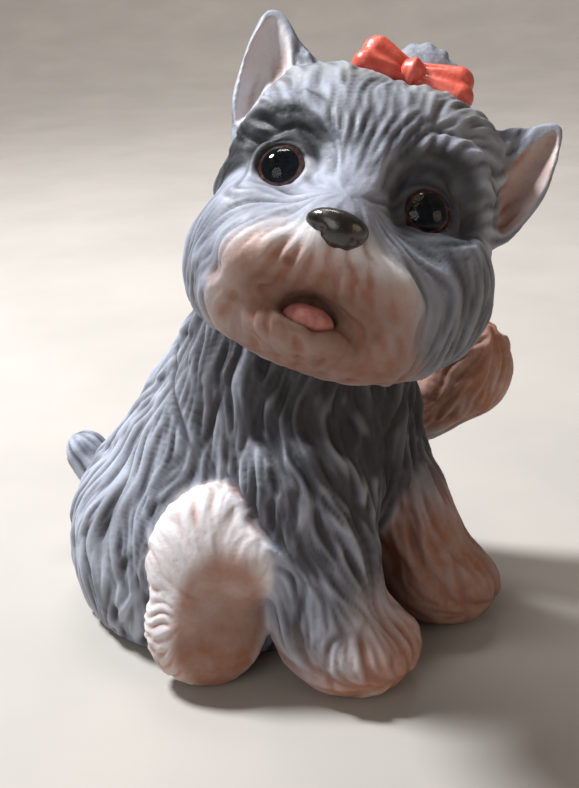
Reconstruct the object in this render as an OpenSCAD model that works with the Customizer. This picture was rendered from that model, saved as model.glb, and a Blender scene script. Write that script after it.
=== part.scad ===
// Ceramic puppy figurine: sits on its rump, right hind sole showing,
// left hind paw lifted to scratch behind the left ear, bow on the crown.
// Millimetres, +Z up, the puppy's chest faces -Y, its left is +X.

/* [Body] */
// widest lower part of the seat: full length, depth and height of its ellipsoid
rump_size = [63, 64, 60];
// centre of the seat
rump_at = [-1.5, 20, 12];
// back above the seat
back_size = [47, 46, 54];
back_at = [-2.5, 13, 33];
// chest, which leans forward over the front legs
chest_size = [41, 38, 58];
chest_at = [-1, -4, 42];
// wall left by slip casting
wall = 3.5; // [2.5:0.5:5]
// vent hole in the underside, diameter
vent_d = 9; // [5:1:14]
vent_at = [-2, 24];

/* [Neck] */
neck_r = 16; // [12:0.5:19]
// passage that joins the hollow body to the hollow head, radius
passage_r = 8; // [5:0.5:11]

/* [Head] */
// point between the eyes, which places the whole head
face_at = [-12.3, -23.5, 90.4];
// head turned to the puppy's right, degrees
head_turn = 44.5; // [0:0.5:70]
// face lifted, degrees
head_lift = 37.2; // [0:0.5:60]
// crown leaned to the puppy's left, degrees
head_tilt = 22.8; // [0:0.5:40]
skull_d = 47.6; // [44:0.2:52]
muzzle_size = [39, 30, 25];
cheek_size = [20.5, 28, 27];

/* [Eyes] */
eye_gap = 23.8; // [20:0.1:28]
eye_r = 3.8; // [3:0.1:4.5]
pupil_r = 2.9; // [1.5:0.1:3.2]
// height of the clear dome above the iris
dome_h = 1.8; // [1:0.1:2.5]
iris_t = 0.7; // [0.5:0.1:1.2]

/* [Ears] */
// length along the ear, then the radii at its foot and tip
ear_h = 24; // [20:0.5:32]
ear_foot_r = 9.3; // [6:0.1:11]
ear_tip_r = 1.2; // [0.8:0.1:2]

/* [Legs] */
paw_size = [24, 26, 17];
// length and height of the upright sole
sole_size = [23.4, 40];
sole_thick = 15.2; // [12:0.1:22]

/* [Bow] */
loop_size = [10.6, 6.6, 7.4];
knot_size = [4.6, 6, 5.4];
// distance from knot to the middle of each loop
loop_out = 5.9; // [5:0.1:7]

/* [Hidden] */
$fn = 64;
grey = [0.55, 0.57, 0.61];
white = [0.90, 0.86, 0.83];
red = [0.80, 0.16, 0.10];
bow_mid = [2, 11.6, 30.2];
socket_back = 0.2;
sole_at = [-30.3, -3, 17.8];
sole_turn = 49;
sole_lift = 13;

// ---- plain shapes ----
module egg(size, at = [0, 0, 0]) {
  translate(at) scale(size / 2) sphere(r = 1);
}

// round-ended limb whose cone meets both end balls tangentially
module limb(a, b, ra, rb) {
  v = b - a;
  len = norm(v);
  s = (ra - rb) / len;
  c = sqrt(1 - s * s);
  translate(a) rotate([0, acos(v[2] / len), atan2(v[1], v[0])]) {
    sphere(r = ra);
    translate([0, 0, len]) sphere(r = rb);
    translate([0, 0, ra * s])
      cylinder(h = len + rb * s - ra * s, r1 = ra * c, r2 = rb * c);
  }
}

module below_ground() { translate([-90, -90, -90]) cube([180, 180, 90]); }

// everything in the head is drawn facing -Y with the eyes' midpoint at zero
module head_frame() {
  translate(face_at) rotate([0, 0, -head_turn]) rotate([-head_lift, 0, 0])
    rotate([0, head_tilt, 0]) children();
}

// side is -1 for the puppy's right eye, +1 for its left; +Z runs out of the eye
module eye_frame(side) {
  head_frame() translate([side * eye_gap / 2, 0, -0.3])
    rotate([0, 0, side * 14]) rotate([92, 0, 0]) children();
}

module sole_frame() {
  translate(sole_at) rotate([0, 0, -sole_turn]) rotate([-sole_lift, 0, 0]) children();
}

// ---- outer forms, shared so that neighbours meet face to face ----
module body_form() {
  egg(rump_size, rump_at);
  egg(back_size, back_at);
  egg(chest_size, chest_at);
  limb([-2, -5, 56], [1, -12, 72], neck_r + 1.5, neck_r);
}

module skull() { translate([0, 18, 5]) sphere(d = skull_d); }

module head_form() {
  head_frame() {
    skull();
    egg(muzzle_size, [0, 3, -15.5]);
    egg(cheek_size, [-14, 9, -13]);
    egg(cheek_size, [16, 9, -11]);
    // bridge of the nose, then the brows
    egg([12, 17, 22], [0, -1, -6]);
    for (s = [-1, 1]) egg([14, 9, 7], [s * 12, 2.5, 9]);
  }
}

// ---- castings ----
module body_casting() color(grey) difference() {
  body_form();
  below_ground();
  head_form();
  // hollow
  difference() {
    union() {
      egg(rump_size - 2 * [wall, wall, wall], rump_at);
      egg(back_size - 2 * [wall, wall, wall], back_at);
      egg(chest_size - 2 * [wall + 1, wall + 1, wall + 1], chest_at);
    }
    translate([-90, -90, -90]) cube([180, 180, 90 + wall]);
  }
  limb([-2, -4, 52], [2, -12, 80], passage_r, passage_r);
  translate([vent_at[0], vent_at[1], -1]) cylinder(h = wall + 2, d = vent_d);
}

module head_casting() color(grey) difference() {
  head_form();
  head_frame() {
    // hollow
    translate([0, 18.5, 5]) sphere(d = skull_d - 10);
    translate([0, 9, -11]) sphere(d = 19);
    mouth();
    tongue_form();
    nose_leather();
  }
  for (s = [-1, 1]) eye_frame(s)
    translate([0, 0, socket_back]) cylinder(h = 8, r = eye_r);
  limb([-2, -4, 52], [2, -12, 80], passage_r, passage_r);
}

// ---- face ----
module mouth() { egg([11, 11, 6.4], [0.5, -6.5, -24.4]); }
module tongue_form() { egg([7.6, 9, 4.2], [0.6, -4.6, -25.8]); }

module right_pupil() color([0.02, 0.02, 0.02]) eye_frame(-1) pupil();
module left_pupil() color([0.02, 0.02, 0.02]) eye_frame(1) pupil();
module right_iris() color([0.36, 0.13, 0.07]) eye_frame(-1) iris();
module left_iris() color([0.36, 0.13, 0.07]) eye_frame(1) iris();
module right_eye_lens() color([0.9, 0.95, 1, 0.4]) eye_frame(-1) lens();
module left_eye_lens() color([0.9, 0.95, 1, 0.4]) eye_frame(1) lens();

module pupil() { translate([0, 0, socket_back]) cylinder(h = iris_t, r = pupil_r); }

module iris() difference() {
  translate([0, 0, socket_back]) cylinder(h = iris_t, r = eye_r);
  translate([0, 0, socket_back - 1]) cylinder(h = iris_t + 2, r = pupil_r);
}

module lens() {
  ball = (eye_r * eye_r + dome_h * dome_h) / (2 * dome_h);
  front = socket_back + iris_t;
  difference() {
    translate([0, 0, front + dome_h - ball]) sphere(r = ball);
    translate([-10, -10, front - 20]) cube([20, 20, 20]);
  }
}

// broad leather with two comma-shaped nostrils
module nose_leather() { egg([9.2, 6.4, 5.8], [0.4, -14.3, -14]); }

module nose() color([0.10, 0.07, 0.06]) head_frame() difference() {
  nose_leather();
  for (s = [-1, 1]) egg([2, 3.4, 1.5], [0.4 + s * 2.2, -17, -14.6]);
}

module tongue() color([0.85, 0.45, 0.42]) head_frame() difference() {
  tongue_form();
  // shallow groove down the middle
  translate([0.6, -4, -23.3]) rotate([86, 0, 0]) cylinder(h = 20, r = 0.5, center = true);
}

// ---- ears: a leaning cone opened at the front into a cup ----
module ear_place(side) {
  if (side < 0) translate([-17.7, 15, 12.4]) rotate([4, -18, 8]) children();
  else mirror([1, 0, 0]) translate([-18.7, 15, 7.2]) rotate([4, -24, 8]) children();
}

module cupped_ear() {
  difference() {
    scale([1, 0.52, 1]) limb([0, 0, 0], [0, 0, ear_h], ear_foot_r, ear_tip_r);
    translate([0, -3, 4]) scale([1, 0.5, 1])
      cylinder(h = ear_h - 5, r1 = ear_foot_r - 2.2, r2 = 0.5);
  }
}

module ear(side) color(white) head_frame() difference() {
  ear_place(side) cupped_ear();
  skull();
}
module right_ear() ear(-1);
module left_ear() ear(1);

// ---- bow and tuft on the crown ----
module bow_frame() { translate(bow_mid) children(); }
module knot_form() { bow_frame() egg(knot_size, [0, -0.6, 0]); }
module loop_form(side) {
  bow_frame() translate([side * loop_out, 0, 0]) rotate([0, side * -6, side < 0 ? 180 : 0]) egg(loop_size);
}

module bow_parts() { knot_form(); loop_form(-1); loop_form(1); }

module bow_loop(side) color(red) head_frame() difference() {
  loop_form(side);
  knot_form();
  // crease that runs out from the knot
  bow_frame() for (t = [-16, 14]) rotate([0, t, 0])
    egg([9, 3, 0.9], [side * 5, -3.6, side * t * -0.02]);
}

module bow_right_loop() bow_loop(-1);
module bow_left_loop() bow_loop(1);
module bow_knot() color(red) head_frame() difference() {
  knot_form();
  bow_frame() for (s = [-1, 1]) egg([0.8, 2, 4.6], [s * 1.1, -3.6, 0]);
}

module band_form() {
  bow_frame() translate([1.2, 4.8, 0.4]) rotate([-28, 0, 0])
    rotate_extrude() translate([4, 0]) circle(r = 1.3);
}
module tuft_form() {
  bow_frame() translate([1.2, 4.8, 0.4]) rotate([-28, 0, 0]) {
    cylinder(h = 4, r1 = 3.6, r2 = 4.2);
    translate([0, 0, -3]) cylinder(h = 3, r1 = 3.6, r2 = 3.6);
    egg([11, 9.6, 8.4], [0, 0, 4.8]);
    for (k = [0:4]) rotate([0, 0, k * 72 + 20]) egg([4.6, 3.8, 7.6], [3.6, 0, 5.6]);
  }
}
module ribbon_band() color(red) head_frame() difference() { band_form(); bow_parts(); skull(); }
module topknot() color(grey) head_frame() difference() {
  tuft_form();
  band_form();
  bow_parts();
  skull();
}

// ---- legs and tail, each hollowed by the body it is luted to ----
module paw(at) {
  difference() {
    egg(paw_size, at);
    for (x = [-4.6, 0, 4.6]) egg([1.1, 9, 12], at + [x, -11.5 + abs(x) * 0.18, 0.5]);
  }
}

module right_front_form() {
  limb([-13, -11, 36], [-15.5, -18, 12], 12.5, 11);
  paw([-15, -22, 7]);
}
module left_front_form() {
  limb([7, -10, 40], [12.5, -20, 11], 10, 9.3);
  paw([13, -23, 7]);
}

module right_front_leg() color(grey) difference() {
  right_front_form();
  body_form();
  below_ground();
}
module left_front_leg() color(grey) difference() {
  left_front_form();
  body_form();
  right_front_form();
  below_ground();
}

module right_hind_leg() color(white) difference() {
  union() {
    egg([37, 42, 39], [-19, 16, 17]);
    sole_frame() difference() {
      // broad toes above, narrower heel below
      union() {
        egg([sole_size[0], sole_thick, 28], [-1.6, 1.2, (sole_size[1] - 28) / 2]);
        egg([sole_size[0] - 1, sole_thick, 22.4], [-0.3, 1.2, (22.4 - sole_size[1]) / 2 + 0.6]);
      }
      // clefts between the toes
      for (x = [-5, 0, 5]) egg([1.2, 8, 12], [x - 1.6, -6 + abs(x) * 0.1, 17 - abs(x) * 0.3]);
    }
  }
  body_form();
  right_front_form();
  below_ground();
}

module left_hind_leg() color(grey) difference() {
  union() {
    egg([34, 44, 42], [16, 14, 22]);
    limb([24, 2, 30], [32, -14, 42], 8, 8);
    egg([18, 17, 21], [33.5, -16, 45.5]);
  }
  body_form();
  left_front_form();
  head_form();
  below_ground();
}

module tail() color(grey) difference() {
  limb([-6, 46, 6], [-9, 61, 20.5], 7.2, 5.2);
  body_form();
  below_ground();
}

body_casting();
head_casting();
right_ear();
left_ear();
right_front_leg();
left_front_leg();
right_hind_leg();
left_hind_leg();
tail();
topknot();
bow_right_loop();
bow_left_loop();
bow_knot();
ribbon_band();
nose();
tongue();
right_eye_lens();
left_eye_lens();
right_iris();
left_iris();
right_pupil();
left_pupil();
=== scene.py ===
"""Ceramic puppy figurine: the looks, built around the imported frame.

Shapes are worked out in millimetres in the row frame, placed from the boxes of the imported
nodes, and turned into metres when the meshes are made."""
import math
from functools import partial
import bpy
from mathutils import Matrix, Vector
import numpy as np


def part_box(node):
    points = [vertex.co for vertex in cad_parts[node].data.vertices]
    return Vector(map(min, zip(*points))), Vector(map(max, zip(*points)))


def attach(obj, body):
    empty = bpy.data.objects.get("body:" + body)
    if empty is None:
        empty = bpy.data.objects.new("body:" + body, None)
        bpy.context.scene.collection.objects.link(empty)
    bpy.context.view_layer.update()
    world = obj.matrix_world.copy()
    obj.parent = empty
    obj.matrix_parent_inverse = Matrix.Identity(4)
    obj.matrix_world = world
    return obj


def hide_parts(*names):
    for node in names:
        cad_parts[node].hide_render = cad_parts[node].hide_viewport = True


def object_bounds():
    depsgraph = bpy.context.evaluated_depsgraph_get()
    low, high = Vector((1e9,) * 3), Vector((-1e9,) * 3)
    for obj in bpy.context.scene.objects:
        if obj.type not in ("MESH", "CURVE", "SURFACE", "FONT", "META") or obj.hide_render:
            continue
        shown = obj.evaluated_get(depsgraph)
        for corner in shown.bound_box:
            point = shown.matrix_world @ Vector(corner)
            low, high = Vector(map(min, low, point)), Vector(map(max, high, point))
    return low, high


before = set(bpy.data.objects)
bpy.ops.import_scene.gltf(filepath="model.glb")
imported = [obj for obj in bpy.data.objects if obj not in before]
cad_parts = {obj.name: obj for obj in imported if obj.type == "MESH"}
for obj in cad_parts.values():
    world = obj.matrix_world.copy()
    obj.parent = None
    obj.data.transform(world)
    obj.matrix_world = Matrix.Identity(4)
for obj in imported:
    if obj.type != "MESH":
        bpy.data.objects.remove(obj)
cad_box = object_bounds()
SEED = 11


# ---- places from the frame
def unit(v):
    v = np.asarray(v, float)
    return v / np.linalg.norm(v)


def mid(node):
    """The middle of a node's box."""
    lo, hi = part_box(node)
    return (np.array(lo, float) * 1000 + np.array(hi, float) * 1000) / 2


def spot(node, x, y, z):
    """A point set off from the middle of a node's box."""
    return mid(node) + np.array([x, y, z], float)


body_at = partial(spot, "body_casting")
right_front_at, left_front_at = partial(spot, "right_front_leg"), partial(spot, "left_front_leg")
right_hind_at, left_hind_at = partial(spot, "right_hind_leg"), partial(spot, "left_hind_leg")


def basis(front, up):
    """Rows left, front, up of a right-handed frame."""
    f = unit(front)
    left = unit(np.cross(up, f))
    return np.array([left, f, np.cross(f, left)])


EYE_R, EYE_L, NOSE = mid("right_pupil"), mid("left_pupil"), mid("nose")
left_dir = unit(EYE_L - EYE_R)
to_nose = NOSE - (EYE_R + EYE_L) / 2
to_nose = unit(to_nose - left_dir * (to_nose @ left_dir))
NOSE_DROP = math.radians(44.8)
front_dir = math.cos(NOSE_DROP) * to_nose + math.sin(NOSE_DROP) * np.cross(to_nose, left_dir)
HEAD = np.array([left_dir, front_dir, np.cross(front_dir, left_dir)])
# the origin of the head's frame, a little behind and above the middle of the pupils
FACE = (EYE_R + EYE_L) / 2 - 0.53 * HEAD[1] + 0.3 * HEAD[2]
EYE_OUT = 11.9  # from the middle of the face to either eye


def placed(origin, turn, left, front, up):
    """The point that lies so far left, in front and up of an origin in a turned frame."""
    return origin + np.array([left, front, up], float) @ turn


hp = partial(placed, FACE, HEAD)


# ---- signed distance sculpting
def smin(a, b, k):
    """The lesser of two distances, blended over k."""
    if k <= 0:
        return np.minimum(a, b)
    h = np.maximum(k - np.abs(a - b), 0) / k
    return np.minimum(a, b) - h * h * (k * 0.25)


def smax(a, b, k):
    return -smin(-a, -b, k)


def egg(c, r, turn=None):
    """An ellipsoid; like every shape, its distance function and the two corners of its box."""
    c, r = np.asarray(c, float), np.asarray(r, float)
    m = np.eye(3) if turn is None else np.asarray(turn, float)
    ext = np.sqrt(((m * r[:, None]) ** 2).sum(0))

    def f(x, y, z):
        X, Y, Z = x - c[0], y - c[1], z - c[2]
        k0 = k1 = 0
        for i in range(3):
            q = m[i, 0] * X + m[i, 1] * Y + m[i, 2] * Z
            k0 = k0 + (q / r[i]) ** 2
            k1 = k1 + (q / r[i] ** 2) ** 2
        k0 = np.sqrt(k0)
        return k0 * (k0 - 1) / (np.sqrt(k1) + 1e-6)
    return f, c - ext, c + ext


def limb(a, b, ra, rb):
    """A round bar from a to b that tapers."""
    a, b = np.asarray(a, float), np.asarray(b, float)
    ba = b - a
    l2 = ba @ ba

    def f(x, y, z):
        X, Y, Z = x - a[0], y - a[1], z - a[2]
        t = np.clip((X * ba[0] + Y * ba[1] + Z * ba[2]) / l2, 0, 1)
        d = np.sqrt((X - t * ba[0]) ** 2 + (Y - t * ba[1]) ** 2 + (Z - t * ba[2]) ** 2)
        return d - (ra + (rb - ra) * t)
    R = max(ra, rb)
    return f, np.minimum(a, b) - R, np.maximum(a, b) + R


def ring(c, axis, radius, tube):
    c, n = np.asarray(c, float), unit(axis)

    def f(x, y, z):
        X, Y, Z = x - c[0], y - c[1], z - c[2]
        h = X * n[0] + Y * n[1] + Z * n[2]
        rr = np.sqrt(np.maximum(X * X + Y * Y + Z * Z - h * h, 0))
        return np.sqrt((rr - radius) ** 2 + h * h) - tube
    return f, c - radius - tube, c + radius + tube


def outline_distance(u, v, pts):
    """Signed distance to a closed outline in a plane, negative inside."""
    d2 = np.full(np.broadcast(u, v).shape, 1e9)
    inside = np.zeros(d2.shape, bool)
    n = len(pts)
    for i in range(n):
        (ax, ay), (bx, by) = pts[i], pts[(i + 1) % n]
        ex, ey = bx - ax, by - ay
        wx, wy = u - ax, v - ay
        t = np.clip((wx * ex + wy * ey) / (ex * ex + ey * ey), 0, 1)
        d2 = np.minimum(d2, (wx - t * ex) ** 2 + (wy - t * ey) ** 2)
        cross = ((ay > v) != (by > v)) & (u < (bx - ax) * (v - ay) / ((by - ay) or 1e-9) + ax)
        inside ^= cross
    d = np.sqrt(d2)
    return np.where(inside, -d, d)


def ellipse_in(u, v, cu, cv, ru, rv):
    """About how deep a point is inside an ellipse in a plane, negative outside."""
    return (1 - np.sqrt(((u - cu) / ru) ** 2 + ((v - cv) / rv) ** 2)) * min(ru, rv)


def rounded(pts, times=2):
    """Corner-cut outline."""
    p = np.array(pts, float)
    for _ in range(times):
        q = np.roll(p, -1, 0)
        p = np.stack([0.78 * p + 0.22 * q, 0.22 * p + 0.78 * q], 1).reshape(-1, 2)
    return [tuple(a) for a in p]


def ear_shell(outer, cup, depth):
    """A cupped ear: its outline and its opening in the head's left-up plane."""
    outer, cup = rounded(outer), rounded(cup)
    front, lean, thick = -12.6, -0.02, 3.2
    cup_slope, edge_round, rim = 4.2, 5.0, 1.6
    slack = 0.85
    foot = min(b for a, b in outer)
    pts = np.array([hp(a, front + s, b) for a, b in outer for s in (-8, 3)])

    def f(x, y, z):
        X, Y, Z = x - FACE[0], y - FACE[1], z - FACE[2]
        q = [HEAD[i, 0] * X + HEAD[i, 1] * Y + HEAD[i, 2] * Z for i in range(3)]
        face = front + lean * (q[2] - foot)
        do = outline_distance(q[0], q[2], outer)
        dc = outline_distance(q[0], q[2], cup)
        s = np.clip(-dc / cup_slope, 0, 1)
        s = 1 - (1 - s) ** 2
        top = face - depth * s
        edge = np.clip(-do / edge_round, 0, 1)
        back = face - rim - thick * np.sqrt(np.clip(edge * (2 - edge), 0, 1))
        return smax(smax(do, (q[1] - top) * slack, 1.0), (back - q[1]) * slack, 1.6)
    return f, pts.min(0) - 1, pts.max(0) + 1


def cell_shares(t):
    """The eight corners of a cell, each with its share at the places t in the cell."""
    share = [(1 - t[:, k], t[:, k]) for k in range(3)]
    for i, j, k in np.ndindex(2, 2, 2):
        yield (i, j, k), share[0][i] * share[1][j] * share[2][k]


def blended(values, n, g):
    """Values of an n[0] by n[1] by n[2] grid, one row each, blended at the grid places g."""
    g = np.clip(g, 0, n - 1.001)
    cell = g.astype(np.int32)
    out = 0
    for corner, share in cell_shares((g - cell).astype(np.float32)):
        i, j, k = (cell + corner).T
        out = out + values[(i * n[1] + j) * n[2] + k] * share[:, None]
    return out


class Field:
    """A distance field on a grid."""

    def __init__(self, lo, hi, h, start=20.0):
        self.h, self.lo = h, np.array(lo, float)
        self.n = np.ceil((np.array(hi, float) - self.lo) / h).astype(int) + 1
        self.ax = [(self.lo[i] + h * np.arange(self.n[i])).astype(np.float32) for i in range(3)]
        self.v = np.full(self.n, start, np.float32)

    def put(self, shape, k, cut=False):
        """A shape joined on or cut away, with a blend of width k."""
        f, lo, hi = shape
        pad = max(2 * k, 3.0)
        first = np.clip(np.floor((lo - pad - self.lo) / self.h).astype(int), 0, self.n - 1)
        end = np.clip(np.ceil((hi + pad - self.lo) / self.h).astype(int) + 1, 1, self.n)
        w = tuple(slice(*ends) for ends in zip(first, end))
        d = f(self.ax[0][w[0]][:, None, None], self.ax[1][w[1]][None, :, None],
              self.ax[2][w[2]][None, None, :]).astype(np.float32)
        self.v[w] = smax(self.v[w], -d, k) if cut else smin(self.v[w], d, k)

    def sample(self, p):
        return blended(self.v.reshape(-1, 1), self.n, (p - self.lo) / self.h)[:, 0]

    def gradient(self, p):
        e = self.h
        g = np.stack([self.sample(p + d) - self.sample(p - d) for d in np.eye(3) * e], 1)
        return g / (np.linalg.norm(g, axis=1, keepdims=True) + 1e-9)

    def settle(self, p, times=2, most=1.0):
        """Points moved on to the zero surface."""
        for _ in range(times):
            p = p - np.clip(self.sample(p), -most, most)[:, None] * self.gradient(p)
        return p


def rows(v, n):
    return np.tile(np.asarray(v, float), (n, 1))


def surface_nets(g):
    """Vertices and quads of the zero surface."""
    v, s = g.v, g.v < 0
    last = np.array(v.shape) - 1
    c = np.zeros(last, np.uint8)
    for corner in np.ndindex(2, 2, 2):
        c += s[tuple(slice(a, a + b) for a, b in zip(corner, last))]
    act = (c > 0) & (c < 8)
    idx = np.argwhere(act)
    ids = np.full(act.shape, -1, np.int32)
    ids[act] = np.arange(len(idx))
    P, N = np.zeros((len(idx), 3)), np.zeros(len(idx))
    axes = np.eye(3, dtype=int)
    for ax in range(3):
        d1, d2 = np.delete(axes, ax, 0)
        for p, q in np.ndindex(2, 2):
            o = p * d1 + q * d2
            a = v[tuple((idx + o).T)]
            b = v[tuple((idx + o + axes[ax]).T)]
            m = (a < 0) != (b < 0)
            e = rows(o, len(idx))
            e[:, ax] += np.where(m, a / (a - b + 1e-20), 0)
            P[m] += e[m]
            N += m
    V = g.lo + (P / N[:, None] + idx) * g.h
    quads = []
    for ax in range(3):
        others = [i for i in range(3) if i != ax]
        d1, d2 = axes[others]
        a = np.moveaxis(s, ax, 0)
        full = np.argwhere(a[:-1] != a[1:])[:, np.argsort([ax] + others)]
        ok = (full > 0) & (full < last)
        full = full[ok[:, others].all(1)]
        ins = s[tuple(full.T)]
        q = np.stack([ids[tuple((full - d).T)] for d in (d1 + d2, d2, 0 * d1, d1)], 1)
        flip = ins if ax != 1 else ~ins
        quads.append(np.where(flip[:, None], q, q[:, ::-1]))
    return V, np.concatenate(quads)


def mesh_normals(V, Q):
    fn = np.cross(V[Q[:, 2]] - V[Q[:, 0]], V[Q[:, 3]] - V[Q[:, 1]])
    N = np.zeros_like(V)
    for i in range(4):
        for k in range(3):
            N[:, k] += np.bincount(Q[:, i], fn[:, k], len(V))
    return N / (np.linalg.norm(N, axis=1, keepdims=True) + 1e-12)


def quad_edges(quads):
    """The directed edges of the quads."""
    return np.concatenate([quads[:, [i, (i + 1) % 4]] for i in range(4)])


def neighbour_sum(x, edges):
    """A value summed over the neighbours of each vertex."""
    a, b = edges.T
    return np.bincount(a, x[b], len(x)) + np.bincount(b, x[a], len(x))


def relax(verts, quads, field, times=3, keep=0.45):
    """Even out the vertices without leaving the surface."""
    edges = quad_edges(quads)
    count = neighbour_sum(np.ones(len(verts)), edges)[:, None]
    for _ in range(times):
        around = np.stack([neighbour_sum(verts[:, k], edges) for k in range(3)], 1)
        verts = field.settle(verts + (around / count - verts) * (1 - keep), 1)
    return verts


def smooth_values(x, quads, times):
    """A value at each vertex, evened out with its neighbours."""
    edges = quad_edges(quads)
    count = neighbour_sum(np.ones(len(x)), edges)
    for _ in range(times):
        x = 0.4 * x + 0.6 * neighbour_sum(x, edges) / count
    return x


def step(x, a, b):
    """Smooth step of x from a to b."""
    t = np.clip((x - a) / (b - a), 0, 1)
    return t * t * (3 - 2 * t)


LATTICE_SIZE = 48
LATTICE = np.random.default_rng(SEED).random((LATTICE_SIZE,) * 3).astype(np.float32) * 2 - 1


def noise(p, size, shift=0.0):
    """Smooth value noise, about -1 to 1, lumps about size across."""
    g = p / size + shift + 512.0
    i = np.floor(g).astype(np.int32)
    t = g - i
    t = t * t * (3 - 2 * t)
    out = 0
    for corner, share in cell_shares(t):
        out = out + share * LATTICE[tuple((i + corner).T % LATTICE_SIZE)]
    return out


# ---- the forms
def hegg(left, front, up, rl, rf, ru):
    """An ellipsoid set square in the head's frame."""
    return egg(hp(left, front, up), (rl, rf, ru), HEAD)


FOOT = basis([-0.74, -0.64, 0.24], [0.18, -0.16, 1])
FOOT_AT = right_hind_at(-0.9, -13.2, -0.5)

fp = partial(placed, FOOT_AT, FOOT)

EAR_R_OUT = [(-24, 8), (-26.3, 14), (-27.6, 22), (-27.9, 30), (-27, 35.4), (-24.6, 36.6),
             (-21.6, 34.6), (-18, 31), (-13, 28.4), (-11, 22), (-17, 12)]
EAR_R_CUP = [(-23.6, 10.5), (-25.6, 15), (-26.9, 23), (-27, 30), (-25.7, 34.3), (-23.6, 34),
             (-20.6, 30.4), (-18.6, 25.5), (-20.6, 17.5)]
EAR_L_OUT = [(13, 25.6), (18, 25.6), (24, 28.6), (28.6, 31), (30.4, 29.8), (31, 24.6),
             (30.8, 17.6), (28.8, 9.8), (25.5, 4), (19, 6), (14, 16)]
EAR_L_CUP = [(28.2, 28.4), (29.3, 28.8), (30.2, 26.6), (30, 18.5), (28, 10.8), (25, 5.8),
             (23, 9), (22.2, 13), (22.8, 17.5), (24.4, 22.6), (26.6, 26.2)]

# each part's shapes, with the width over which each blends into what is there before it
PARTS = {
    "body": [(egg(body_at(-2, 7, -23.2), (34, 33, 30)), 0),
             (egg(body_at(-1, 0, -2.2), (24, 23, 27)), 8),
             (egg(body_at(0.5, -17, 6.8), (21, 19, 29)), 6),
             (limb(body_at(-0.5, -18, 20.8), body_at(1.5, -25, 36.8), 18, 16), 5),
             (limb(body_at(-0.5, -8, 18.8), body_at(2.5, -12, 35.8), 18, 15), 6)],
    "right_front": [(limb(right_front_at(2, 7.1, 12.5), right_front_at(-0.5, 0.1, -11.5), 12.5, 11), 3),
                    (egg(right_front_at(0.4, -3.9, -16.5), (12.6, 13.4, 8.7)), 3)],
    "left_front": [(limb(left_front_at(-5.9, 11.4, 18.9), left_front_at(-0.4, 1.4, -10.1), 10, 9.3), 3),
                   (egg(left_front_at(0.1, -1.6, -13.6), (11, 12.5, 8.2)), 3)],
    "right_hind": [(egg(right_hind_at(12.5, 3.8, -0.6), (18, 22, 20)), 3),
                   (egg(fp(-1.6, -1.2, 5.6), (11.7, 7.6, 13.4), FOOT), 2),
                   (egg(fp(-0.3, -1.2, -7.4), (11.2, 7.6, 11.2), FOOT), 3),
                   (egg(fp(6, 0.4, 8), (6.4, 6.4, 7.8), FOOT), 2.5)],
    "left_hind": [(egg(left_hind_at(-11.7, 9.3, -9.6), (17, 22, 21)), 3),
                  (limb(left_hind_at(-3.7, -2.7, -1.6), left_hind_at(4.3, -18.7, 10.4), 8, 8), 3),
                  (egg(left_hind_at(5.8, -20.7, 13.9), (9, 8.5, 10.5)), 3)],
    "tail": [(limb(spot("tail", 1.3, -8.2, -5.8), spot("tail", -1.7, 3.8, 7.7), 7, 5.2), 3)],
    "head": [(hegg(0, -18, 5.2, 24.5, 23.5, 22.6), 1.5), (hegg(0, -3, -15.5, 19.5, 15, 12), 5),
             (hegg(-13.2, -9, -12.5, 10, 14, 13.2), 4), (hegg(16.3, -9.5, -9.5, 10.5, 14, 13), 4),
             (hegg(-8.5, -14.5, 18.4, 13, 12, 8.9), 4), (hegg(9.5, -14.5, 18.2, 13, 12, 9.4), 4),
             (hegg(1.5, -3.5, -20.6, 18.5, 12, 8.8), 4), (limb(hp(0, 8, -12.5), hp(0, -4, 2), 6, 7), 3)],
    "right_ear": [(ear_shell(EAR_R_OUT, EAR_R_CUP, 2.7), 2.2)],
    "left_ear": [(ear_shell(EAR_L_OUT, EAR_L_CUP, 3.2), 2.2)],
}
NODE_OF = {"body": "body_casting", "right_front": "right_front_leg", "left_front": "left_front_leg",
           "right_hind": "right_hind_leg", "left_hind": "left_hind_leg", "tail": "tail",
           "head": "head_casting", "right_ear": "right_ear", "left_ear": "left_ear"}

lo, hi = (np.array(c) * 1000 for c in cad_box)
SKIN_GRID = lo - [4, 4, 2], hi + 4, 0.46
field = Field(*SKIN_GRID)
for name, shapes in PARTS.items():
    for shape, k in shapes:
        field.put(shape, k)

# face: brows, sockets, whisker pads, the rims and seats of the eyes, then chin and mouth
EYE_TURN = math.radians(14)
for s in (-1, 1):
    brow = [hp(19.6 * s, -7.4, 8.2), hp(16.2 * s, -3.6, 10.8),
            hp(12.0 * s, -2.2, 11.2), hp(8.6 * s, -1.6, 8.6)]
    for i, (start, end, blend) in enumerate(((2.2, 3.2, 3), (3.2, 3.6, 2), (3.6, 3, 2))):
        field.put(limb(brow[i], brow[i + 1], start, end), blend)
    field.put(hegg(13.4 * s, 4.6, 2.4, 8.6, 4.4, 6.6), 2.5, cut=True)
    field.put(hegg(17.6 * s, 2.2, 2, 4.6, 5, 4.4 if s < 0 else 5), 2, cut=True)
    field.put(hegg(7.2 * s, 6.4, -18.4, 8.6, 6.4, 5.4), 2.2)
    gaze = HEAD[1] * math.cos(EYE_TURN) + HEAD[0] * s * math.sin(EYE_TURN)
    field.put(ring(hp(EYE_OUT * s, 0.2, -0.5) + gaze * 0.2, gaze, 4.7, 1.15), 1.2)
    field.put(egg(hp(EYE_OUT * s, 0, -0.3) + gaze * 1.6, (3.7, 3.7, 3.7)), 0.6, cut=True)
field.put(hegg(0, 9.6, -13.2, 4.6, 4, 4.4), 2.5)
field.put(hegg(0.4, 3.6, -26.6, 8.5, 6, 3.6), 2)
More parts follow.
